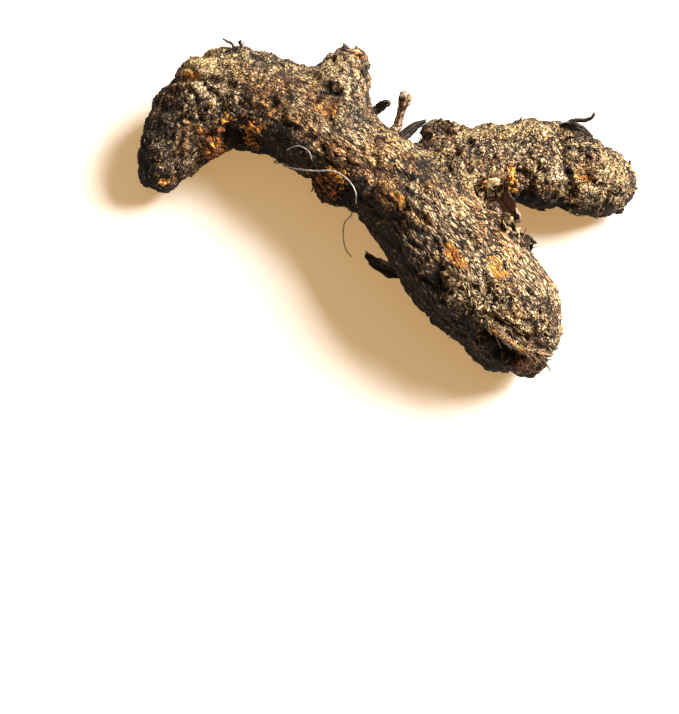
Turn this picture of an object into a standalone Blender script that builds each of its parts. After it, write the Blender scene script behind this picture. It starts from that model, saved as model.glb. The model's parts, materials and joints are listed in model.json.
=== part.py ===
"""A dried turmeric rhizome: a thick bent stem with a side finger, a nub and a blunt bud,
and the dry shoot, rootlets and scale leaves that still cling to it.

It lies on the plane z = 0 with its length along X: the stem's hooked end is at -X and
the finger's tip at +X. The origin is the middle of its footprint. Sizes are in
millimetres and become metres as meshes are made.
"""

from collections import namedtuple

import bmesh
import bpy
import numpy as np
from mathutils import Matrix, Vector
from mathutils.bvhtree import BVHTree

MM = 0.001

# Driving dimensions, in millimetres
REACH = 95.0  # hooked end to finger tip, along X
SPAN = 66.0  # the stem's lower end to the nub's top, along Y
STEM_RADIUS = 11.6  # the stem where it is thickest
FINGER_RADIUS = 8.2
NUB_RADIUS = 6.3
BUD_RADIUS = 4.6
KNOB_RADIUS = 4.7
HEEL_RADIUS = 6.0
REST_WEAR = 0.5  # how deep the resting spots are worn flat
LUMP_HEIGHT = 1.5  # of the swellings all over the rhizome
LUMP_WIDTH = 8.0
CLEARANCE = 0.3  # between the rhizome and whatever grows on it
SHOOT_RADIUS = 0.85
ROOTLET_RADIUS = 0.5
FIBRE_RADIUS = 0.3
SCALE_THICKNESS = 0.6

# How finely it is made
SKIN_VOXEL = 0.9
SKIN_TRIANGLES = 6000
SMOOTHING = 8
LIMB_ROUNDNESS = 7  # bevel resolution of a limb
STRAND_ROUNDNESS = 2
ROUTE_STEPS = 5  # points from one station to the next
SCALE_STEPS = (8, 5)  # faces along and across a scale leaf
FOOT_GIRTH = 1.15  # of a strand, as a share of its radius

# A limb's stations are (x, y, lift, girth): x as a share of REACH, y as a share of SPAN,
# the height of the limb's underside in millimetres, and its radius as a share of radius.
Limb = namedtuple("Limb", "name radius stations")

# What grows on the rhizome stands on the skin's spot nearest its foot, an (x, y, z) in
# shares of REACH, of SPAN and of the stem's thickness. A strand's route from there is in
# millimetres, (x, y, z, girth). A scale leaf runs from there by its reach, and its edges
# curl up by curl times its width.
Strand = namedtuple("Strand", "name radius finish foot route")
Scale = namedtuple("Scale", "name finish foot reach width curl")

Finish = namedtuple("Finish", "colour roughness")

FINISHES = {
    "bark": Finish((0.150, 0.100, 0.062), 0.85),
    "dry_shoot": Finish((0.215, 0.150, 0.090), 0.90),
    "rootlet": Finish((0.060, 0.045, 0.035), 0.85),
    "hair_root": Finish((0.430, 0.400, 0.350), 0.70),
    "scale_leaf": Finish((0.130, 0.075, 0.045), 0.80),
}

STEM = [
    (-0.475, 0.100, 2.5, 0.22),
    (-0.465, 0.130, 1.2, 0.38),
    (-0.450, 0.180, 0.6, 0.53),
    (-0.425, 0.235, 0.3, 0.64),
    (-0.395, 0.290, 0.0, 0.75),
    (-0.355, 0.335, 0.0, 0.84),
    (-0.310, 0.355, 0.2, 0.86),
    (-0.250, 0.335, 0.8, 0.84),
    (-0.170, 0.280, 2.2, 0.81),
    (-0.075, 0.160, 3.6, 0.74),
    (0.030, 0.035, 4.0, 0.79),
    (0.105, -0.115, 2.6, 0.93),
    (0.170, -0.215, 0.2, 1.00),
    (0.220, -0.290, -0.8, 0.96),
    (0.250, -0.365, -0.6, 0.83),
    (0.270, -0.420, 1.5, 0.63),
    (0.283, -0.455, 3.5, 0.40),
    (0.290, -0.475, 6.0, 0.18),
]
FINGER = [
    (0.090, 0.010, 5.9, 0.95),
    (0.165, 0.115, 4.7, 0.95),
    (0.225, 0.135, 3.4, 0.93),
    (0.290, 0.150, 1.4, 1.06),
    (0.355, 0.138, 0.2, 1.03),
    (0.412, 0.112, 0.0, 0.91),
    (0.455, 0.090, 0.4, 0.78),
    (0.488, 0.080, 1.8, 0.54),
    (0.502, 0.075, 4.0, 0.27),
]
NUB = [
    (-0.115, 0.270, 5.5, 1.35),
    (-0.098, 0.345, 6.5, 1.12),
    (-0.085, 0.410, 7.8, 0.84),
    (-0.075, 0.460, 9.4, 0.62),
    (-0.068, 0.490, 10.6, 0.40),
]
BUD = [
    (-0.070, 0.125, 7.0, 1.07),
    (-0.105, 0.088, 6.2, 0.92),
    (-0.134, 0.048, 6.4, 0.87),
]
KNOB = [
    (0.140, 0.170, 8.2, 1.05),
    (0.110, 0.212, 9.6, 0.82),
    (0.070, 0.200, 10.2, 0.62),
]
HEEL = [
    (0.045, -0.090, 4.5, 0.89),
    (0.095, -0.200, 3.0, 1.05),
    (0.125, -0.260, 2.0, 0.95),
]
LIMBS = [
    Limb("stem", STEM_RADIUS, STEM),
    Limb("finger", FINGER_RADIUS, FINGER),
    Limb("nub", NUB_RADIUS, NUB),
    Limb("bud", BUD_RADIUS, BUD),
    Limb("knob", KNOB_RADIUS, KNOB),
    Limb("heel", HEEL_RADIUS, HEEL),
]

STRANDS = [
    Strand(
        "shoot_stub",
        SHOOT_RADIUS,
        "dry_shoot",
        (0.018, 0.235, 0.58),
        [(1.4, 2.7, 1.2, 0.90), (1.8, 4.2, 2.6, 0.95), (2.4, 5.7, 4.0, 1.45)],
    ),
    Strand(
        "neck_stub",
        SHOOT_RADIUS,
        "dry_shoot",
        (-0.038, 0.290, 0.62),
        [(2.4, 0.2, 1.6, 0.95), (3.0, -0.4, 2.6, 0.80)],
    ),
    Strand(
        "finger_rootlet",
        ROOTLET_RADIUS,
        "rootlet",
        (0.360, 0.228, 0.54),
        [(1.6, 0.6, 1.4, 1.00), (3.0, 0.3, 2.1, 0.90), (4.1, 0.4, 2.9, 0.80), (4.7, 1.2, 3.5, 0.60)],
    ),
    Strand(
        "hair_root_long",
        FIBRE_RADIUS,
        "hair_root",
        (-0.220, 0.185, 0.34),
        [
            (1.7, -2.1, 3.3, 1.00),
            (3.4, -4.3, 5.9, 1.00),
            (7.3, -5.8, 8.4, 1.00),
            (11.2, -6.3, 9.8, 0.95),
            (14.4, -7.6, 9.8, 0.90),
            (16.3, -9.5, 8.9, 0.85),
            (16.9, -10.9, 7.5, 0.75),
        ],
    ),
    Strand(
        "hair_root_short",
        FIBRE_RADIUS,
        "hair_root",
        (-0.169, 0.195, 0.60),
        [(2.6, 0.6, 0.9, 0.95), (4.2, -0.5, 1.1, 0.90), (4.9, -2.0, 0.6, 0.75)],
    ),
    Strand(
        "hair_root_hanging",
        FIBRE_RADIUS,
        "hair_root",
        (-0.061, 0.013, 0.39),
        [
            (-1.7, -1.5, -1.9, 0.95),
            (-1.9, -3.6, -4.0, 0.90),
            (-1.4, -5.3, -5.8, 0.85),
            (-0.2, -6.4, -7.3, 0.75),
        ],
    ),
    Strand(
        "crown_fibre_long",
        FIBRE_RADIUS,
        "rootlet",
        (-0.314, 0.480, 0.56),
        [(-1.0, 0.5, 1.7, 0.90), (-1.8, 0.3, 3.3, 0.70)],
    ),
    Strand(
        "crown_fibre_short",
        FIBRE_RADIUS,
        "rootlet",
        (-0.296, 0.470, 0.60),
        [(-0.3, 0.5, 1.5, 1.10), (0.1, 0.3, 2.7, 0.80)],
    ),
]
SCALES = [
    Scale("shoot_collar_scale", "scale_leaf", (0.040, 0.225, 0.60), (4.4, 2.4, 2.1), 2.2, 0.10),
    Scale("finger_scale", "rootlet", (0.352, 0.222, 0.62), (4.4, -2.7, 1.6), 1.8, 0.20),
    Scale("axil_sheath", "scale_leaf", (0.231, 0.029, 0.47), (3.6, -3.6, 1.0), 5.0, 0.25),
    Scale("axil_scale_upper", "scale_leaf", (0.195, -0.020, 0.69), (2.4, -1.8, 0.8), 2.4, 0.25),
    Scale("axil_scale_lower", "scale_leaf", (0.226, -0.045, 0.64), (1.8, -2.9, 0.9), 2.6, 0.15),
    Scale("rim_scale", "rootlet", (0.285, -0.082, 0.56), (3.7, -1.7, 1.1), 3.0, 0.20),
    Scale("flank_scale", "rootlet", (0.020, -0.160, 0.34), (-4.7, 3.4, 0.1), 5.0, 0.30),
]


def clear_scene():
    for obj in list(bpy.data.objects):
        bpy.data.objects.remove(obj)


def new_collection(name):
    collection = bpy.data.collections.new(name)
    bpy.context.scene.collection.children.link(collection)
    return collection


def material(name):
    """A plain finish in its own colour, made once and shared."""
    known = bpy.data.materials.get(name)
    if known:
        return known
    made = bpy.data.materials.new(name)
    made.use_nodes = True
    shader = made.node_tree.nodes["Principled BSDF"]
    shader.inputs["Base Color"].default_value = (*FINISHES[name].colour, 1)
    shader.inputs["Roughness"].default_value = FINISHES[name].roughness
    shader.inputs["Metallic"].default_value = 0.0
    return made


def smooth_route(points):
    """Points along a Catmull-Rom curve that passes through the given ones, of any width."""
    p = np.array(points, float)
    p = np.vstack([2 * p[0] - p[1], p, 2 * p[-1] - p[-2]])
    t = np.linspace(0, 1, ROUTE_STEPS, endpoint=False)[:, None]
    spans = []
    for a, b, c, d in zip(p[:-3], p[1:-2], p[2:-1], p[3:]):
        bend = 2 * a - 5 * b + 4 * c - d
        twist = 3 * b - a - 3 * c + d
        spans.append(0.5 * (2 * b + (c - a) * t + bend * t**2 + twist * t**3))
    return np.vstack([*spans, p[-2:-1]])


def as_mesh(obj, collection):
    """The object's curve or modifiers made into one welded mesh, under the same name."""
    graph = bpy.context.evaluated_depsgraph_get()
    mesh = bpy.data.meshes.new_from_object(obj.evaluated_get(graph))
    work = bmesh.new()
    work.from_mesh(mesh)
    bmesh.ops.remove_doubles(work, verts=work.verts, dist=0.01 * MM)
    bmesh.ops.recalc_face_normals(work, faces=work.faces)
    work.to_mesh(mesh)
    work.free()
    name = obj.name
    place = obj.matrix_world.copy()
    bpy.data.objects.remove(obj)
    made = bpy.data.objects.new(name, mesh)
    made.matrix_world = place
    collection.objects.link(made)
    return made


def tube(name, route, roundness, collection):
    """A closed round rod along a route of (x, y, z, radius) rows."""
    curve = bpy.data.curves.new(name, "CURVE")
    curve.dimensions = "3D"
    curve.bevel_depth = MM
    curve.bevel_resolution = roundness
    curve.use_fill_caps = True
    spline = curve.splines.new("POLY")
    spline.points.add(len(route) - 1)
    for point, (x, y, z, radius) in zip(spline.points, route):
        point.co = (x * MM, y * MM, z * MM, 1)
        point.radius = radius
    obj = bpy.data.objects.new(name, curve)
    collection.objects.link(obj)
    return as_mesh(obj, collection)


def limb_tube(limb, collection):
    """A limb: each station stands its own radius above the height of its underside."""
    rows = [
        (x * REACH, y * SPAN, lift + girth * limb.radius, girth * limb.radius)
        for x, y, lift, girth in limb.stations
    ]
    return tube(limb.name, smooth_route(rows), LIMB_ROUNDNESS, collection)


def joined(objects, name, collection):
    work = bmesh.new()
    for obj in objects:
        work.from_mesh(obj.data)
        bpy.data.objects.remove(obj)
    mesh = bpy.data.meshes.new(name)
    work.to_mesh(mesh)
    work.free()
    obj = bpy.data.objects.new(name, mesh)
    collection.objects.link(obj)
    return obj


def table(cutters):
    """A block whose top face wears the resting spots flat."""
    bpy.ops.mesh.primitive_cube_add(size=1)
    block = bpy.context.object
    block.name = "table"
    block.dimensions = (2 * REACH * MM, 2 * SPAN * MM, 2 * STEM_RADIUS * MM)
    block.location.z = (REST_WEAR - STEM_RADIUS) * MM
    bpy.ops.object.transform_apply(location=True, rotation=False, scale=True)
    block.hide_render = True
    block.display_type = "WIRE"
    for collection in block.users_collection:
        collection.objects.unlink(block)
    cutters.objects.link(block)
    return block


def rhizome(parts, cutters):
    """All limbs grown into one lumpy body, worn flat where it rests."""
    body = joined([limb_tube(limb, parts) for limb in LIMBS], "rhizome", parts)
    grow = body.modifiers.new("grow_together", "REMESH")
    grow.mode = "VOXEL"
    grow.voxel_size = SKIN_VOXEL * MM
    soften = body.modifiers.new("soften", "SMOOTH")
    soften.factor = 0.5
    soften.iterations = SMOOTHING
    swellings = bpy.data.textures.new("swellings", "CLOUDS")
    swellings.noise_scale = LUMP_WIDTH * MM
    swellings.noise_depth = 1
    lumps = body.modifiers.new("lumps", "DISPLACE")
    lumps.texture = swellings
    lumps.strength = LUMP_HEIGHT * MM
    lumps.mid_level = 0.5
    body = as_mesh(body, parts)
    thin = body.modifiers.new("thin", "DECIMATE")
    thin.ratio = SKIN_TRIANGLES / (2 * len(body.data.polygons))
    wear = body.modifiers.new("wear", "BOOLEAN")
    wear.operation = "DIFFERENCE"
    wear.object = table(cutters)
    body = as_mesh(body, parts)
    body.data.transform(Matrix.Translation((0, 0, -REST_WEAR * MM)))
    return finished(body, "bark")


def finished(obj, finish):
    obj.data.materials.clear()
    obj.data.materials.append(material(finish))
    obj.data.shade_smooth()
    return obj


def surface(obj):
    """A tree of the object's faces, in millimetres, for finding the nearest spot on it."""
    vertices = [vertex.co / MM for vertex in obj.data.vertices]
    faces = [tuple(face.vertices) for face in obj.data.polygons]
    return BVHTree.FromPolygons(vertices, faces)


class Ground:
    """What the strands and scale leaves grow on, and have to stay clear of."""

    def __init__(self, body):
        self.skin = surface(body)
        self.grown = []

    def add(self, obj):
        """Counts one more grown piece among those that later pieces stay clear of."""
        self.grown.append(surface(obj))

    def seat(self, x, y, z):
        """The skin's spot nearest a place in shares, and the way out of the skin there."""
        place = Vector((x * REACH, y * SPAN, z * 2 * STEM_RADIUS))
        spot, normal, _, _ = self.skin.find_nearest(place)
        return spot, normal

    def clear(self, point, gap):
        """The point itself, or moved out until it is gap off the skin and what grows there."""
        point = Vector(point)
        spot, normal, _, distance = self.skin.find_nearest(point)
        if distance < gap or (point - spot).dot(normal) < 0:
            point = spot + normal * gap
        for piece in self.grown:
            spot, normal, _, distance = piece.find_nearest(point)
            if distance < gap:
                point = spot + normal * gap
        return point


def strand(spec, ground, parts):
    """A rod that stands square on the skin, then runs along its route, clear of it."""
    foot, normal = ground.seat(*spec.foot)
    girth = FOOT_GIRTH * spec.radius
    rows = [(*(foot + normal * (CLEARANCE + girth)), girth)]
    for x, y, z, share in spec.route:
        radius = share * spec.radius
        rows.append((*ground.clear(foot + Vector((x, y, z)), CLEARANCE + radius), radius))
    route = smooth_route(rows)
    for row in route[1:]:
        row[:3] = ground.clear(row[:3], CLEARANCE + row[3])
    route = np.vstack([(*(foot + normal * CLEARANCE), girth), route])
    return grown(tube(spec.name, route, STRAND_ROUNDNESS, parts), spec, ground)


def scale_leaf(spec, ground, parts):
    """A thin curled blade from its foot on the skin along its reach: widest near the
    middle, with its edges lifted by the square of the way across."""
    foot, normal = ground.seat(*spec.foot)
    reach = Vector(spec.reach)
    across = reach.cross(normal).normalized()
    outward = across.cross(reach).normalized()
    work = bmesh.new()
    bmesh.ops.create_grid(work, x_segments=SCALE_STEPS[0], y_segments=SCALE_STEPS[1], size=0.5)
    for vertex in work.verts:
        along = vertex.co.x + 0.5
        side = 2 * vertex.co.y
        half_width = 0.5 * spec.width * (0.6 + 0.4 * np.sin(np.pi * along)) * (1 - 0.3 * along)
        rise = spec.curl * spec.width * side**2
        point = foot + reach * along + across * (side * half_width) + outward * rise
        vertex.co = ground.clear(point, CLEARANCE + SCALE_THICKNESS / 2) * MM
    mesh = bpy.data.meshes.new(spec.name)
    work.to_mesh(mesh)
    work.free()
    leaf = bpy.data.objects.new(spec.name, mesh)
    parts.objects.link(leaf)
    wall = leaf.modifiers.new("thickness", "SOLIDIFY")
    wall.thickness = SCALE_THICKNESS * MM
    wall.offset = 0
    return grown(as_mesh(leaf, parts), spec, ground)


def grown(obj, spec, ground):
    ground.add(obj)
    return finished(obj, spec.finish)


def centred(objects, parts):
    """Everything hung on one empty that brings the footprint's middle to the origin."""
    corners = np.vstack([[v.co for v in obj.data.vertices] for obj in objects])
    middle = (corners.min(axis=0) + corners.max(axis=0)) / 2
    base = bpy.data.objects.new("turmeric_root", None)
    base.location = (-middle[0], -middle[1], 0)
    parts.objects.link(base)
    for obj in objects:
        obj.parent = base


def main():
    clear_scene()
    parts = new_collection("turmeric_root")
    cutters = new_collection("cutters")
    body = rhizome(parts, cutters)
    ground = Ground(body)
    strands = [strand(spec, ground, parts) for spec in STRANDS]
    scales = [scale_leaf(spec, ground, parts) for spec in SCALES]
    centred([body, *strands, *scales], parts)


main()
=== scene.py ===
"""The looks of one dried turmeric root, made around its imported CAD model.

The root lies on a pale floor. Its bark is a fine skin grown over the CAD rhizome and wrinkled
with noise that runs along each limb. The dry shoots, rootlets, hair roots and scale leaves are
profiles carried along short routes. Shapes are worked out in millimetres and become metres as
meshes are made.
"""

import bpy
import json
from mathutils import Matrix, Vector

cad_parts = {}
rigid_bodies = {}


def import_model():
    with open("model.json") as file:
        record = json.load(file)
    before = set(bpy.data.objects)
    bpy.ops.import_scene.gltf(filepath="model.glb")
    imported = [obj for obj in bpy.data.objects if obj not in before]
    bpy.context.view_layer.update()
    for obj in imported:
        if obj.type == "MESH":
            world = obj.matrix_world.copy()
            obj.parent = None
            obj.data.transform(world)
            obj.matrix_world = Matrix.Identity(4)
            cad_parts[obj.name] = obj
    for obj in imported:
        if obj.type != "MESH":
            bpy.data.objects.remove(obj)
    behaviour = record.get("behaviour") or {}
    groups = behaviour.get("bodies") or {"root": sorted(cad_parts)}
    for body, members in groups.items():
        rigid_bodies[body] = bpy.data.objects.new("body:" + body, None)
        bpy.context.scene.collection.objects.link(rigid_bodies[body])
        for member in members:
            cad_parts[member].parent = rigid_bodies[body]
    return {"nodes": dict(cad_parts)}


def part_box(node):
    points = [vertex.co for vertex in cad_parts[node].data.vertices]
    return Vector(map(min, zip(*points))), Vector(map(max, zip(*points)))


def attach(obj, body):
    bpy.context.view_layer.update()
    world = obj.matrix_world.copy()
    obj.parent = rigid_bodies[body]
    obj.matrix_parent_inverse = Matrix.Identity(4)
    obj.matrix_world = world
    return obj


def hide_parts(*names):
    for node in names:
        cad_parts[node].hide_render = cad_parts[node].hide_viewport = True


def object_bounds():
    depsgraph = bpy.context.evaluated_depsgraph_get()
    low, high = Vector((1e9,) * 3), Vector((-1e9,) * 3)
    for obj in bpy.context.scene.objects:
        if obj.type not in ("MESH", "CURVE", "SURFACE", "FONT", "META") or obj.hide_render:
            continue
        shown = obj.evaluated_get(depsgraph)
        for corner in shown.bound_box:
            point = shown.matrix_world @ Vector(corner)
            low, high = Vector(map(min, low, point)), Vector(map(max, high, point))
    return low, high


bl_info = {
    "name": "Dried Turmeric Root",
    "version": (1, 0, 0),
    "blender": (4, 5, 0),
    "location": "3D View > Sidebar > Turmeric",
    "description": "Grows the bark, shoots, rootlets and scale leaves of a dried turmeric root",
    "category": "Add Mesh",
}

import json
import math
from collections import namedtuple

import bmesh
import bpy
import numpy as np
from bpy.props import FloatProperty, FloatVectorProperty, IntProperty, PointerProperty
from mathutils import Vector
from mathutils.bvhtree import BVHTree

for leftover in list(bpy.data.objects):
    bpy.data.objects.remove(leftover)

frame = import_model()
CAD_BOX = [list(corner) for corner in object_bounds()]
BODY = "root"
MM = 0.001
LOW, HIGH = (np.array(corner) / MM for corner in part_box("rhizome"))

# Millimetres, unless a line says otherwise
ROOT_DEPTH = 0.7  # how far a strand's foot goes under the bark
LEAF_DEPTH = 0.5  # how far a scale leaf's foot goes under the bark
LIMB_BLEND = 0.9  # how softly one limb's bark passes into the next's
PIT_DEPTH = 0.6  # how deep the small round pits are
WRINKLE_MIDDLE = 0.36  # lifts the wrinkles, which run from about -1 to 0, to stand round 0
LIMB_SAMPLES = 14  # points along a limb's centre line, for each of its stations
FLOOR_HALF = 1500.0  # half the floor's side
KEY_DIRECTION = (0.74, 0.34, 0.60)  # from the root to the lamp
KEY_DISTANCE = 1.6  # metres
KEY_SIZE = 0.85  # metres
AIM = (0.408, 0.043, 0.426)  # what the camera looks at, in shares of the CAD model's box

# A limb's stations are (x, y, z, radius): shares of the rhizome's box, and millimetres.
STEM = [
    (0.034, 0.591, 0.19, 2.6),
    (0.059, 0.672, 0.27, 6.1),
    (0.113, 0.782, 0.35, 8.7),
    (0.197, 0.848, 0.41, 10.0),
    (0.335, 0.772, 0.47, 9.4),
    (0.429, 0.651, 0.50, 8.6),
    (0.532, 0.526, 0.54, 9.2),
    (0.606, 0.375, 0.55, 10.8),
    (0.671, 0.274, 0.48, 11.6),
    (0.720, 0.198, 0.42, 11.1),
    (0.750, 0.123, 0.36, 9.6),
    (0.782, 0.032, 0.33, 4.6),
]
FINGER = [
    (0.592, 0.500, 0.56, 7.8),
    (0.666, 0.606, 0.51, 7.8),
    (0.789, 0.641, 0.41, 8.7),
    (0.853, 0.629, 0.35, 8.4),
    (0.909, 0.603, 0.30, 7.5),
    (0.952, 0.581, 0.27, 6.4),
    (0.985, 0.571, 0.24, 4.4),
]
NUB = [
    (0.389, 0.762, 0.57, 8.5),
    (0.406, 0.838, 0.56, 7.1),
    (0.419, 0.903, 0.54, 5.3),
    (0.429, 0.954, 0.55, 3.9),
]
BUD = [(0.434, 0.616, 0.49, 4.9), (0.399, 0.581, 0.42, 4.4), (0.374, 0.556, 0.38, 3.5)]

# Routes that both a stain and its loose bits follow, in shares of the rhizome's box
MAT_ROUTE = [(0.628, 0.192, 0.87), (0.665, 0.162, 0.87), (0.713, 0.162, 0.87)]
STREAK_ROUTE = [(0.743, 0.582, 0.74), (0.741, 0.554, 0.68), (0.751, 0.531, 0.58)]
HOOK_TIP_ROUTE = [(0.060, 0.592, 0.33), (0.068, 0.592, 0.35)]
BELLY_ROUTE = [(0.614, 0.300, 0.97), (0.635, 0.255, 0.96)]

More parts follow.
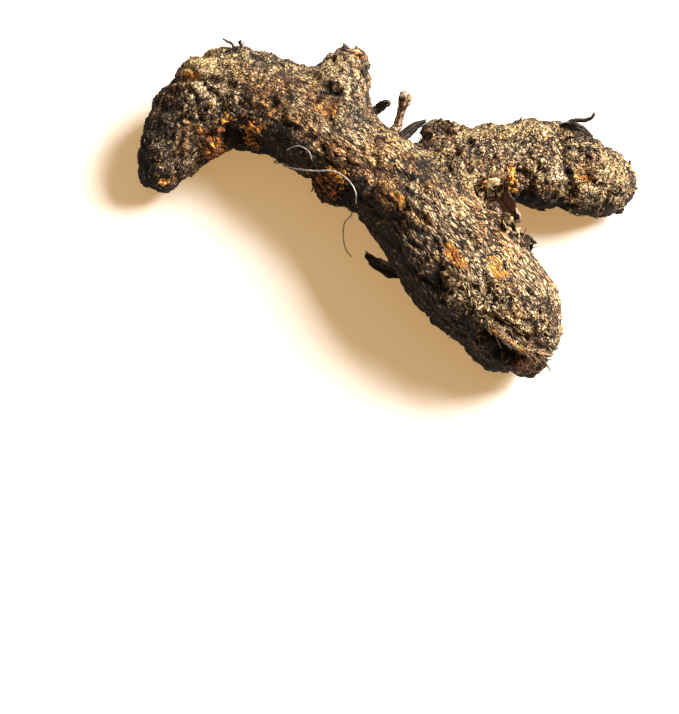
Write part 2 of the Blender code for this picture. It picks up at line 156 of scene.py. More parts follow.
# What a spot of the bark went through, or the shade or light painted on it. Its route is in
# shares of the rhizome's box, its width and rise in millimetres, and its stains from 0, none,
# to 1, all of it. The soot stain is mostly painted shade in hollows, pits, grooves and on
# shaded sides, and partly dark bark; the tan stain is yellowish bark, and partly a painted
# highlight along the lit rims.
Mark = namedtuple("Mark", "route width rise flesh tan soot rust", defaults=(0, 0, 0, 0, 0))
MARKS = {
    "nub_pit": Mark([(0.376, 0.803, 0.88), (0.397, 0.795, 0.89)], 1.4, -2.6, soot=1),
    "crater": Mark([(0.197, 0.704, 0.56), (0.205, 0.690, 0.46)], 2.2, -2.1, soot=0.9),
    "crater_lip_left": Mark([(0.152, 0.690, 0.46), (0.176, 0.677, 0.44)], 1.6, 1.1, 0.85, rust=0.8),
    "crater_lip_right": Mark([(0.226, 0.707, 0.62), (0.246, 0.710, 0.66)], 1.1, 0.6, 1.0),
    "crater_lip_low": Mark([(0.218, 0.690, 0.48), (0.230, 0.685, 0.47)], 1.1, 0.7, 0.9, rust=0.5),
    "crater_lip_top": Mark([(0.183, 0.733, 0.69)], 0.7, 0.3, 1.0),
    "hook_top_scar": Mark([(0.104, 0.873, 0.72), (0.124, 0.864, 0.75)], 0.8, 0.3, 0.9, 0.5),
    "hook_tip_scar": Mark(HOOK_TIP_ROUTE, 0.9, 0.2, 1.0),
    "nub_scar": Mark([(0.444, 0.935, 0.69), (0.452, 0.930, 0.68)], 1.0, 0.3, 1.0, 0.8),
    "stem_scar": Mark([(0.517, 0.466, 0.92), (0.526, 0.448, 0.93)], 1.0, -0.2, 0.95),
    "finger_streak": Mark(STREAK_ROUTE, 0.6, 0.3, 1.0, 0.6),
    "stem_yellow_high": Mark([(0.526, 0.657, 0.78)], 2.4, 0.1, 0.25, 0.8),
    "stem_yellow_mid": Mark([(0.600, 0.626, 0.77), (0.612, 0.608, 0.78)], 1.6, 0.1, 0.4, 0.9),
    "stem_yellow_low": Mark([(0.668, 0.484, 0.80), (0.684, 0.455, 0.78)], 0.9, 0.1, 0.4, 1.0),
    "finger_orange": Mark([(0.880, 0.570, 0.61), (0.896, 0.560, 0.59)], 1.6, 0.1, 0.5, 0.7),
    "axil_orange": Mark([(0.690, 0.526, 0.72), (0.700, 0.520, 0.70)], 0.7, 0.2, 0.9),
    "belly_orange": Mark(BELLY_ROUTE, 1.0, 0.2, 0.9),
    "belly_yellow": Mark([(0.700, 0.262, 0.95), (0.716, 0.225, 0.93)], 1.6, 0.1, 0.55, 0.9),
    "belly_hollow": Mark([(0.599, 0.230, 0.89), (0.606, 0.200, 0.86)], 1.8, -1.0, soot=0.6, rust=0.4),
    "end_fold": Mark(
        [(0.693, 0.094, 0.77), (0.724, 0.068, 0.69), (0.753, 0.045, 0.64), (0.780, 0.034, 0.59)],
        0.75, 1.3, 0.5, 0.6,
    ),
    "end_hollow": Mark(
        [(0.688, 0.070, 0.70), (0.716, 0.040, 0.61), (0.744, 0.020, 0.55)], 1.5, -2.3, soot=0.8, rust=0.5
    ),
    "end_groove": Mark(
        [(0.708, 0.110, 0.80), (0.742, 0.083, 0.74), (0.770, 0.062, 0.69)],
        0.6, -0.9, soot=0.6,
    ),
    "end_fold_high": Mark(
        [(0.700, 0.128, 0.84), (0.736, 0.104, 0.79), (0.772, 0.080, 0.73)],
        0.7, 0.7, tan=0.5,
    ),
    "end_cap": Mark([(0.775, 0.020, 0.46), (0.795, 0.030, 0.42)], 3.2, 0.0, rust=0.9),
    "end_rim": Mark([(0.832, 0.120, 0.52), (0.820, 0.062, 0.44)], 1.5, 0.2, 0.2, 1.0),
    "rim_hole_low": Mark([(0.689, 0.333, 0.95)], 0.6, -0.9, soot=1),
    "rim_hole_high": Mark([(0.702, 0.352, 0.92)], 0.6, -0.9, soot=1),
    "bud_face": Mark([(0.374, 0.546, 0.52)], 2.6, 0.0, 0.2, rust=0.9),
    "bud_rim": Mark([(0.392, 0.562, 0.68), (0.405, 0.552, 0.70)], 0.9, 0.4, 0.9, 0.3),
    "finger_waist": Mark(
        [(0.842, 0.704, 0.67), (0.846, 0.633, 0.73), (0.854, 0.581, 0.66), (0.866, 0.523, 0.53)],
        0.9, -1.0, soot=0.55,
    ),
    "axil_valley": Mark(
        [(0.615, 0.710, 0.71), (0.633, 0.619, 0.82), (0.661, 0.553, 0.85)], 0.9, -1.1, soot=0.6
    ),
    "neck_orange": Mark([(0.386, 0.732, 0.84)], 2.3, 0.0, 0.45, rust=0.5),
    "hump_hole": Mark([(0.278, 0.758, 0.83)], 1.2, -0.6, soot=0.8),
    "finger_tip_dark": Mark([(0.982, 0.632, 0.43), (0.989, 0.574, 0.39)], 0.9, -0.6, soot=0.8),
    "finger_top_dark": Mark([(0.870, 0.739, 0.53), (0.879, 0.686, 0.63)], 1.5, -0.4, soot=0.9),
    "crown_slit": Mark([(0.234, 0.942, 0.71), (0.258, 0.930, 0.72)], 0.7, -0.7, soot=0.9),
    "crown_dark": Mark([(0.200, 0.956, 0.69)], 1.5, 0.1, soot=0.8),
    "nub_tip_dark": Mark([(0.409, 0.978, 0.64), (0.433, 0.976, 0.67)], 1.4, -0.5, soot=0.95),
    # Painted shade on the nub's flank
    "nub_flank_painted_shade": Mark(
        [(0.467, 0.904, 0.62), (0.471, 0.850, 0.66), (0.468, 0.799, 0.71)],
        1.9, -0.4, soot=0.9,
    ),
    "end_slit": Mark([(0.809, 0.200, 0.69), (0.816, 0.144, 0.63)], 1.0, -0.6, soot=0.8),
    # Painted highlights: tan along the upper and right rims that face the key light
    "crown_painted_highlight": Mark([(0.110, 0.900, 0.70), (0.250, 0.935, 0.75), (0.360, 0.860, 0.80)], 2.6, 0, tan=0.7),
    "nub_painted_highlight": Mark([(0.400, 0.870, 0.84), (0.415, 0.920, 0.80)], 1.8, 0, tan=0.5),
    "shoulder_painted_highlight": Mark(
        [(0.500, 0.690, 0.86), (0.580, 0.625, 0.86), (0.660, 0.520, 0.84)],
        2.0, 0, tan=0.7,
    ),
    "finger_painted_highlight": Mark(
        [(0.660, 0.720, 0.75), (0.780, 0.735, 0.80), (0.880, 0.690, 0.65), (0.960, 0.620, 0.50)],
        2.6, 0, tan=0.8,
    ),
    "finger_tip_painted_highlight": Mark([(0.930, 0.600, 0.55), (0.970, 0.570, 0.42)], 2.2, 0, tan=0.7),
    # Painted shade on the hook's side turned away from the key light
    "hook_painted_shade": Mark(
        [(0.060, 0.690, 0.45), (0.100, 0.780, 0.62), (0.180, 0.770, 0.76)],
        5.0, 0, soot=0.45,
    ),
    "middle_warm": Mark([(0.235, 0.765, 0.83), (0.320, 0.710, 0.82)], 3.2, 0, 0.30, rust=0.35),
    "lower_warm": Mark(
        [(0.400, 0.640, 0.75), (0.470, 0.530, 0.80), (0.540, 0.400, 0.85)],
        2.4, 0, 0.22, rust=0.45,
    ),
    "brow": Mark(
        [(0.074, 0.875, 0.60), (0.117, 0.853, 0.75), (0.163, 0.839, 0.82), (0.200, 0.819, 0.82)],
        0.8, -0.9, soot=0.5,
    ),
    "brow_ridge": Mark(
        [(0.100, 0.890, 0.73), (0.150, 0.880, 0.80), (0.225, 0.860, 0.85)],
        1.6, 0.4, 0, 0.5,
    ),
    "axil_dark": Mark(
        [(0.690, 0.520, 0.72), (0.722, 0.480, 0.66), (0.745, 0.430, 0.66)],
        1.6, -0.6, soot=0.7,
    ),
    "mat_dark": Mark(MAT_ROUTE, 2.4, -0.3, soot=0.85),
    "rim_ring": Mark([(0.742, 0.392, 0.76), (0.778, 0.355, 0.66)], 1.3, 0.6, soot=0.75),
    # Painted shade that darkens the nub where it faces the key light
    "nub_painted_shade": Mark([(0.425, 0.870, 0.80), (0.440, 0.800, 0.85), (0.452, 0.720, 0.85)], 2.6, 0, soot=0.62),
    "bud_gap": Mark([(0.405, 0.502, 0.46), (0.418, 0.507, 0.60), (0.429, 0.512, 0.71)], 1.3, -1.2, soot=1),
    # Painted shade under the finger
    "finger_under_painted_shade": Mark(
        [(0.744, 0.514, 0.48), (0.794, 0.511, 0.44), (0.846, 0.503, 0.34)],
        2.8, -0.4, soot=0.85,
    ),
}

# A strand's stations are (x, y, z, girth): shares of its CAD node's box, and of its girth.
Strand = namedtuple("Strand", "node stations finish", defaults=(None,))
SHOOTS = [
    Strand(
        "shoot_stub",
        [
            (0.33, 0.19, 0.16, 1.0),
            (0.50, 0.44, 0.36, 0.85),
            (0.60, 0.66, 0.60, 1.0),
            (0.75, 0.90, 0.86, 1.6),
        ],
    ),
    Strand(
        "neck_stub",
        [(0.33, 0.52, 0.28, 1.0), (0.65, 0.57, 0.64, 0.8), (0.82, 0.28, 0.90, 0.6)],
        "rootlet",
    ),
]
ROOTLETS = [
    Strand(
        "finger_rootlet",
        [
            (0.13, 0.48, 0.21, 1.15),
            (0.38, 0.48, 0.41, 1.0),
            (0.64, 0.30, 0.59, 0.9),
            (0.84, 0.36, 0.79, 0.8),
            (0.95, 0.86, 0.94, 0.6),
        ],
    ),
    Strand(
        "crown_fibre_long",
        [(0.85, 0.65, 0.12, 0.7), (0.41, 0.55, 0.53, 0.55), (0.08, 0.30, 0.98, 0.4)],
    ),
    Strand(
        "crown_fibre_short",
        [(0.67, 0.61, 0.16, 0.7), (0.32, 0.51, 0.56, 0.65), (0.72, 0.26, 0.97, 0.45)],
    ),
]
HAIR_ROOTS = [
    Strand(
        "hair_root_long",
        [
            (0.02, 0.96, 0.03, 1.0),
            (0.14, 0.83, 0.33, 1.0),
            (0.25, 0.67, 0.56, 1.0),
            (0.50, 0.55, 0.77, 1.0),
            (0.72, 0.49, 0.92, 0.95),
            (0.88, 0.35, 0.98, 0.9),
            (0.98, 0.17, 0.94, 0.85),
            (0.99, 0.03, 0.76, 0.7),
        ],
    ),
    Strand(
        "hair_root_short",
        [
            (0.06, 0.86, 0.16, 0.6),
            (0.45, 0.81, 0.81, 0.6),
            (0.82, 0.48, 0.87, 0.55),
            (0.96, 0.06, 0.56, 0.5),
        ],
    ),
    Strand(
        "hair_root_hanging",
        [
            (0.81, 0.94, 0.93, 1),
            (0.23, 0.77, 0.73, 0.95),
            (0.14, 0.45, 0.46, 0.9),
            (0.36, 0.19, 0.22, 0.85),
            (0.88, 0.03, 0.03, 0.7),
        ],
    ),
]

# A scale leaf runs from its foot to its tip, in shares of its CAD node's box. Its width and
# the height of its curled edges are in millimetres, and its ribs are a count.
ScaleLeaf = namedtuple("ScaleLeaf", "node foot tip faces width curl ribs finish")
SCALE_LEAVES = [
    ScaleLeaf(
        "shoot_collar_scale", (0.05, 0.1, 0.2), (0.95, 0.9, 0.85), (0.51, 0.85, 0.15),
        2.2, 0.5, 5, "rootlet",
    ),
    ScaleLeaf(
        "finger_scale", (0.05, 0.8, 0.15), (0.98, 0.1, 0.85), (0.32, 0.64, 0.70),
        2.0, 0.5, 4, "rootlet",
    ),
    ScaleLeaf(
        "axil_sheath", (0.2, 0.95, 0.55), (0.9, 0.1, 0.6), (0.25, -0.90, 0.35),
        4.4, 1.2, 7, "scale_leaf",
    ),
    ScaleLeaf(
        "axil_scale_upper", (0.05, 0.85, 0.3), (0.9, 0.1, 0.7), (0.60, 0.40, 0.70),
        3.4, 1.0, 5, "scale_leaf",
    ),
    ScaleLeaf(
        "axil_scale_lower", (0.1, 0.9, 0.35), (0.8, 0.05, 0.7), (0.55, 0.35, 0.75),
        3.6, 1.0, 6, "scale_leaf",
    ),
    ScaleLeaf(
        "rim_scale", (0.05, 0.75, 0.3), (0.62, 0.30, 0.55), (0.70, 0.45, 0.55),
        2.4, 0.9, 4, "rootlet",
    ),
    ScaleLeaf(
        "flank_scale", (0.95, 0.2, 0.5), (0.05, 0.9, 0.5), (-0.60, -0.60, 0.52),
        3.0, 1.1, 5, "rootlet",
    ),
]

# Where loose bits stand: along a route in shares of the rhizome's box, within a radius. Their
# length and half width are in millimetres, their lift in degrees off the bark, their tone
# runs from 0, dark, to 1, pale, and combed is how far they follow the route, from 0 to 1.
Zone = namedtuple("Zone", "route radius count length width lift tone combed", defaults=(0,))
ALL_OVER = [(0.05, 0.6, 0.3), (0.2, 0.85, 0.6), (0.45, 0.65, 0.7), (0.7, 0.25, 0.7)]
ALONG_FINGER = [(0.68, 0.60, 0.7), (0.80, 0.64, 0.6), (0.95, 0.58, 0.4)]
FLAKES = [
    Zone(ALL_OVER, 14, 520, 0.75, 0.34, 9, 0.50),
    Zone(ALONG_FINGER, 9, 460, 0.95, 0.46, 12, 0.62),
    Zone([(0.690, 0.510, 0.72), (0.722, 0.470, 0.70), (0.748, 0.410, 0.70)], 1.7, 70, 2.0, 0.90, 24, 0.58),
    Zone(MAT_ROUTE, 1.8, 150, 1.2, 0.26, 18, 0.85),
    Zone(
        [(0.690, 0.110, 0.80), (0.730, 0.080, 0.74), (0.780, 0.040, 0.62)],
        1.2, 64, 3.0, 0.24, 9, 0.42, 0.95,
    ),
    Zone(
        [(0.800, 0.010, 0.45), (0.825, 0.040, 0.50), (0.835, 0.100, 0.55)],
        1.6, 80, 1.6, 0.22, 8, 0.55, 0.9,
    ),
    Zone([(0.735, 0.400, 0.78), (0.778, 0.355, 0.66)], 1.6, 80, 1.1, 0.70, 18, 0.30),
    Zone([(0.612, 0.235, 0.90), (0.622, 0.205, 0.88)], 1.6, 34, 1.3, 0.60, 20, 0.55),
    Zone([(0.425, 0.955, 0.72), (0.440, 0.975, 0.66), (0.462, 0.88, 0.70)], 1.5, 60, 0.9, 0.55, 18, 0.16),
    Zone([(0.800, 0.150, 0.70), (0.812, 0.095, 0.62)], 1.1, 40, 1.0, 0.45, 20, 0.25),
    Zone([(0.595, 0.700, 0.75), (0.618, 0.735, 0.72)], 1.6, 60, 0.9, 0.50, 20, 0.30),
    Zone([(0.880, 0.660, 0.66), (0.905, 0.640, 0.60)], 1.5, 40, 1.1, 0.50, 18, 0.22),
]
CRUMBS = [
    Zone([(0.150, 0.690, 0.47), (0.178, 0.677, 0.45)], 1.7, 70, 1.1, 0.62, 18, 0.42),
    Zone([(0.222, 0.707, 0.62), (0.250, 0.712, 0.67)], 1.0, 34, 0.90, 0.52, 18, 0.60),
    Zone([(0.183, 0.733, 0.69), (0.196, 0.726, 0.66)], 0.7, 14, 0.60, 0.40, 14, 0.85),
    Zone([(0.218, 0.690, 0.48), (0.234, 0.685, 0.47)], 0.9, 26, 0.75, 0.45, 16, 0.50),
    Zone([(0.362, 0.530, 0.50), (0.385, 0.540, 0.62)], 2.8, 90, 1.0, 0.50, 14, 0.30),
    Zone([(0.385, 0.572, 0.70), (0.402, 0.560, 0.74), (0.419, 0.543, 0.75)], 0.8, 36, 0.80, 0.42, 18, 0.75),
    Zone(HOOK_TIP_ROUTE, 0.8, 16, 0.60, 0.35, 12, 0.80),
    Zone(STREAK_ROUTE, 0.45, 30, 0.70, 0.40, 16, 0.85),
    Zone([(0.688, 0.528, 0.72), (0.702, 0.520, 0.70)], 0.6, 18, 0.75, 0.45, 16, 0.75),
    Zone(BELLY_ROUTE, 0.7, 14, 0.60, 0.40, 12, 0.70),
]
FIBRES = [
    Zone(MAT_ROUTE, 1.7, 60, 1.8, 0.085, 12, 0.60),
    Zone(
        [(0.250, 0.800, 0.8), (0.450, 0.650, 0.8), (0.550, 0.450, 0.9), (0.760, 0.130, 0.7)],
        9, 500, 1.6, 0.075, 6, 0.55, 0.9,
    ),
    Zone([(0.185, 0.955, 0.68), (0.215, 0.960, 0.66)], 1.3, 60, 1.5, 0.080, 50, 0.10),
    Zone([(0.812, 0.205, 0.66), (0.828, 0.160, 0.58)], 0.9, 26, 1.2, 0.070, 30, 0.40),
    Zone([(0.745, 0.385, 0.76), (0.778, 0.355, 0.66)], 1.4, 36, 1.7, 0.080, 45, 0.20),
    Zone([(0.560, 0.690, 0.60), (0.590, 0.700, 0.72)], 1.4, 40, 1.6, 0.080, 40, 0.25),
    Zone(ALL_OVER, 14, 110, 1.3, 0.055, 12, 0.55),
    Zone(ALONG_FINGER, 9, 60, 1.3, 0.060, 14, 0.55),
]


# ---------------------------------------------------------------- numbers in space


def spread(count):
    """Unit vectors spread evenly: equal steps of height, each turned by the golden angle."""
    step = np.arange(count) + 0.5
    height = 1 - 2 * step / count
    turn = step * math.pi * (3 - math.sqrt(5))
    flat = np.sqrt(1 - height**2)
    return np.stack([flat * np.cos(turn), flat * np.sin(turn), height], axis=1)


DIRECTIONS = spread(64)
UNIT_CELL = np.array([(x, y, z) for x in (0, 1) for y in (0, 1) for z in (0, 1)])
CELL_BLOCK = np.array([(x, y, z) for x in (-1, 0, 1) for y in (-1, 0, 1) for z in (-1, 0, 1)])


def scrambled(cell, seed):
    """A whole number for each lattice cell: its three numbers times large primes, folded."""
    x, y, z = (cell + 4096).astype(np.uint32).T
    mixed = (x * np.uint32(73856093)) ^ (y * np.uint32(19349663)) ^ (z * np.uint32(83492791))
    mixed = mixed + np.uint32(seed * 7919 + 1)
    mixed = (mixed ^ (mixed >> np.uint32(15))) * np.uint32(2246822519)
    mixed = (mixed ^ (mixed >> np.uint32(13))) * np.uint32(3266489917)
    return mixed ^ (mixed >> np.uint32(16))


def noise(points, seed=0):
    """Gradient noise, about -1 to 1: each corner of the cell round a point has a unit vector
    from the hash, its product with the way to the point is taken, and the eight are blended
    by the fade 6t^5 - 15t^4 + 10t^3."""
    base = np.floor(points)
    inner = points - base
    fade = inner**3 * (inner * (inner * 6 - 15) + 10)
    total = np.zeros(len(points))
    for corner in UNIT_CELL:
        toward = DIRECTIONS[scrambled(base.astype(np.int64) + corner, seed) & 63]
        weight = np.prod(np.where(corner, fade, 1 - fade), axis=1)
        total += weight * ((inner - corner) * toward).sum(axis=1)
    return 1.6 * total


def layered(points, seed=0, layers=3):
    """Noise on noise: each layer is twice as fine as the last and half as high."""
    return sum(noise(points * 2**layer, seed + layer) / 2**layer for layer in range(layers))


def cells(points, seed=0):
    """Distances to the nearest and second nearest of the random seeds, one in each lattice
    cell, and a random number from 0 to 1 that belongs to the nearest."""
    base = np.floor(points).astype(np.int64)
    near = np.full(len(points), 9.0)
    second = np.full(len(points), 9.0)
    owner = np.zeros(len(points))
    for step in CELL_BLOCK:
        mixed = scrambled(base + step, seed)
        shift = np.stack([(mixed >> np.uint32(bit)) & np.uint32(255) for bit in (0, 8, 16)], axis=1) / 255
        gap = np.linalg.norm(base + step + shift - points, axis=1)
        closer = gap < near
        second = np.where(closer, near, np.minimum(second, gap))
        owner = np.where(closer, (mixed >> np.uint32(24)) / 255, owner)
        near = np.where(closer, gap, near)
    return near, second, owner


def smooth_step(value, low, high):
    """0 below low, 1 above high, and 3t^2 - 2t^3 between them."""
    t = np.clip((value - low) / (high - low), 0, 1)
    return t * t * (3 - 2 * t)


def creases(value, width):
    """1 along the lines where a noise crosses zero, falling to 0 at width on either side."""
    return 1 - smooth_step(np.abs(value), 0, width)


# ---------------------------------------------------------------- routes and surfaces


def in_box(shares, low=LOW, high=HIGH):
    """Points in millimetres from their shares of a box."""
    return low + np.asarray(shares, float) * (high - low)


def smooth_route(stations, steps):
    """A Catmull-Rom curve through the stations, of any width: steps points from each to the
    next, each the cubic that passes through both with their neighbours' slope."""
    p = np.array(stations, float)
    p = np.vstack([2 * p[0] - p[1], p, 2 * p[-1] - p[-2]])
    t = np.linspace(0, 1, steps, endpoint=False)[:, None, None]
    a, b, c, d = p[:-3], p[1:-2], p[2:-1], p[3:]
    spans = 0.5 * (2 * b + (c - a) * t + (2 * a - 5 * b + 4 * c - d) * t**2 + (3 * b - a - 3 * c + d) * t**3)
    return np.vstack([spans.transpose(1, 0, 2).reshape(-1, p.shape[1]), p[-2:-1]])


def unit(vectors):
    """The vectors at length one: each divided by its length."""
    return vectors / np.maximum(np.linalg.norm(vectors, axis=-1, keepdims=True), 1e-9)


def carried_frame(route, first=(0, 0, 1)):
    """Tangents along a route, and the up and side directions that go with them: each up is
    the last one, made square to the new tangent."""
    tangent = unit(np.gradient(route, axis=0))
    up = [np.array(first, float)]
    for ahead in tangent:
        up.append(unit(up[-1] - ahead * (up[-1] @ ahead)))
    up = np.array(up[1:])
    return tangent, np.cross(up, tangent), up


def made_mesh(name, points, faces):
    """An object from points in millimetres, with its faces turned outwards."""
    mesh = bpy.data.meshes.new(name)
    mesh.from_pydata((points * MM).tolist(), [], faces.tolist())
    corners = points[faces]
    volume = np.einsum("ij,ij->", corners[:, 0], np.cross(corners[:, 1], corners[:, 2]))
    if volume < 0:
        mesh.flip_normals()
    mesh.shade_smooth()
    obj = bpy.data.objects.new(name, mesh)
    bpy.context.scene.collection.objects.link(obj)
    return obj


def tube_faces(rings, sides):
    """The triangles of a tube whose points come ring by ring, and then its two end points:
    two between each pair of neighbours and the next ring, and a fan at each end."""
    here = np.arange(sides)
    there = (here + 1) % sides
    ring = np.arange(rings - 1)[:, None] * sides
    last, first_end, last_end = (rings - 1) * sides, rings * sides, rings * sides + 1
    triangles = [
        np.stack([ring + here, ring + there, ring + there + sides], axis=-1).reshape(-1, 3),
        np.stack([ring + here, ring + there + sides, ring + here + sides], axis=-1).reshape(-1, 3),
        np.stack([there, here, np.full(sides, first_end)], axis=1),
        np.stack([here + last, there + last, np.full(sides, last_end)], axis=1),
    ]
    return np.vstack(triangles)


def swept(route, sides, section, first=(0, 0, 1)):
    """A profile carried along a route, as points and faces. A ring's points stand off the
    route sideways, upwards and ahead, as section says for the share of the way and the
    angle round. A last point closes each end."""
    tangent, side, up = carried_frame(route, first)
    way = np.linspace(0, 1, len(route))[:, None]
    angle = np.linspace(0, 2 * math.pi, sides, endpoint=False)[None, :]
    sideways, upward, ahead = (np.broadcast_to(part, (len(route), sides)) for part in section(way, angle))
    rings = (
        route[:, None]
        + sideways[..., None] * side[:, None]
        + upward[..., None] * up[:, None]
        + ahead[..., None] * tangent[:, None]
    )
    points = np.vstack([rings.reshape(-1, 3), rings[0].mean(axis=0), rings[-1].mean(axis=0)])
    return points, tube_faces(len(route), sides)


def store(obj, name, values):
    """Keeps one number, or one vector, for each point of a mesh, for its material to read."""
    kind, key = ("FLOAT", "value") if values.ndim == 1 else ("FLOAT_VECTOR", "vector")
    attribute = obj.data.attributes.new(name, kind, "POINT")
    attribute.data.foreach_set(key, values.astype(np.float32).ravel())


class Skin:
    """The bark's surface as it last was, for finding the nearest spot on it."""

    @classmethod
    def remember(cls, obj):
        """Keeps an object's points, in millimetres, its normals and a tree of its faces."""
        cls.points = np.zeros(len(obj.data.vertices) * 3)
        obj.data.vertices.foreach_get("co", cls.points)
        cls.points = cls.points.reshape(-1, 3) / MM
        cls.normals = np.zeros(len(cls.points) * 3, np.float32)
        obj.data.vertex_normals.foreach_get("vector", cls.normals)
        cls.normals = cls.normals.reshape(-1, 3).astype(float)
        cls.tree = BVHTree.FromObject(obj, bpy.context.evaluated_depsgraph_get())

    @classmethod
    def seat(cls, point):
        """The spot nearest a point, and the way out of the bark there."""
        spot, normal, _, _ = cls.tree.find_nearest(Vector(point) * MM)
        return np.array(spot) / MM, np.array(normal)


# ---------------------------------------------------------------- the bark's relief


class Limb:
    """A limb's centre line, and the frame that is carried along it."""

    def __init__(self, stations):
        """A smooth curve through the stations, and how far along it each sample is."""
        stations = np.array(stations, float)
        stations[:, :3] = in_box(stations[:, :3])
        rows = smooth_route(stations, LIMB_SAMPLES)
        self.centre, self.radius = rows[:, :3], rows[:, 3]
        self.tangent, self.side, self.up = carried_frame(self.centre)
        gaps = np.linalg.norm(np.diff(self.centre, axis=0), axis=1)
        self.along = np.concatenate([[0], np.cumsum(gaps)])

    def unrolled(self, points, softness=1.5):
        """The points as if the limb were straight, (along, sideways, upward), and how far
        each stands off the limb's round. The line's samples count by a bell curve of how
        much farther off than the nearest they are."""
        square = (points**2).sum(axis=1)[:, None] + (self.centre**2).sum(axis=1)
        square = square - 2 * points @ self.centre.T
        weight = np.exp((square.min(axis=1, keepdims=True) - square) / (2 * softness**2))
        weight /= weight.sum(axis=1, keepdims=True)
        off = points - weight @ self.centre
        axes = [unit(weight @ rows) for rows in (self.tangent, self.side, self.up)]
        ahead, sideways, upward = ((off * axis).sum(axis=1) for axis in axes)
        straight = np.stack([weight @ self.along + ahead, sideways, upward], axis=1)
        return straight, np.linalg.norm(off, axis=1) - weight @ self.radius


def wrinkles(q, seed, fibrous, crumbly, ringed):
    """The fine height of dry bark, from about -1 to 0, at straightened points in
    millimetres: furrows that run along the limb, cracks and puckers between crumbs, and
    ring scars across it. Each is the zero line of a stretched noise or a border of cells."""
    bent = q + 0.9 * np.stack([noise(q / 4, seed + k) for k in (1, 2, 3)], axis=1)
    bent += 0.35 * np.stack([noise(q / 1.7, seed + k) for k in (11, 12, 13)], axis=1)
    long = creases(noise(bent * (1 / 9, 1 / 2.4, 1 / 2.4), seed + 4), 0.32)
    short = creases(noise(bent * (1 / 4, 1 / 1.4, 1 / 1.4), seed + 5), 0.45)
    near, second, _ = cells(bent / (2.3, 1.6, 1.6), seed + 6)
    crack = 1 - smooth_step(second - near, 0, 0.30)
    pucker = creases(layered(bent / 2.1, seed + 9, 2), 0.45)
    grit = 0.5 + 0.5 * noise(bent / 0.95, seed + 10)
    ring = creases(noise(bent * (1 / 2.6, 1 / 16, 1 / 16), seed + 7), 0.22)
    return -(
        fibrous * (0.42 * long + 0.30 * short + 0.12 * grit)
        + crumbly * (0.40 * crack + 0.26 * pucker + 0.14 * grit)
        + ringed * 0.40 * ring
    )


def lumps(points, seed):
    """Broad swellings with deep soft folds between them, from about -1.5 to 1."""
    bent = points + 1.5 * np.stack([noise(points / 6, seed + k) for k in (2, 3, 4)], axis=1)
    fold = creases(noise(bent / 6.5, seed + 5), 0.25)
    return 0.6 * noise(points / 7.5, seed) + 0.4 * noise(points / 3.6, seed + 1) - 0.8 * fold


def nearest_leg(points, shares):
    """How far each point is from the nearest straight stretch of a route, and that stretch's
    direction. The route's stations, shares of the box, are first moved onto the skin."""
    route = [Skin.seat(station)[0] for station in in_box(shares)]
    nearest = np.linalg.norm(points - route[0], axis=1)
    heading = np.zeros((len(points), 3))
    for start, end in zip(route[:-1], route[1:]):
        leg = end - start
        share = np.clip((points - start) @ leg / (leg @ leg), 0, 1)
        gap = np.linalg.norm(points - start - share[:, None] * leg, axis=1)
        heading = np.where((gap <= nearest)[:, None], unit(leg), heading)
        nearest = np.minimum(nearest, gap)
    return nearest, heading


def base_skin(settings):
    """A merged copy of the CAD rhizome, remeshed into even small faces and smoothed."""
    work = bmesh.new()
    work.from_mesh(frame["nodes"]["rhizome"].data)
    bmesh.ops.remove_doubles(work, verts=work.verts, dist=0.01 * MM)
    mesh = bpy.data.meshes.new("bark_base")
    work.to_mesh(mesh)
    work.free()
    obj = bpy.data.objects.new("bark_base", mesh)
    bpy.context.scene.collection.objects.link(obj)
    grow = obj.modifiers.new("fine_faces", "REMESH")
    grow.mode = "VOXEL"
    grow.voxel_size = settings.mesh_step
    soften = obj.modifiers.new("soften", "SMOOTH")
    soften.factor = 0.5
    soften.iterations = settings.smoothing
    graph = bpy.context.evaluated_depsgraph_get()
    finished = bpy.data.meshes.new_from_object(obj.evaluated_get(graph))
    bpy.data.objects.remove(obj)
    return finished


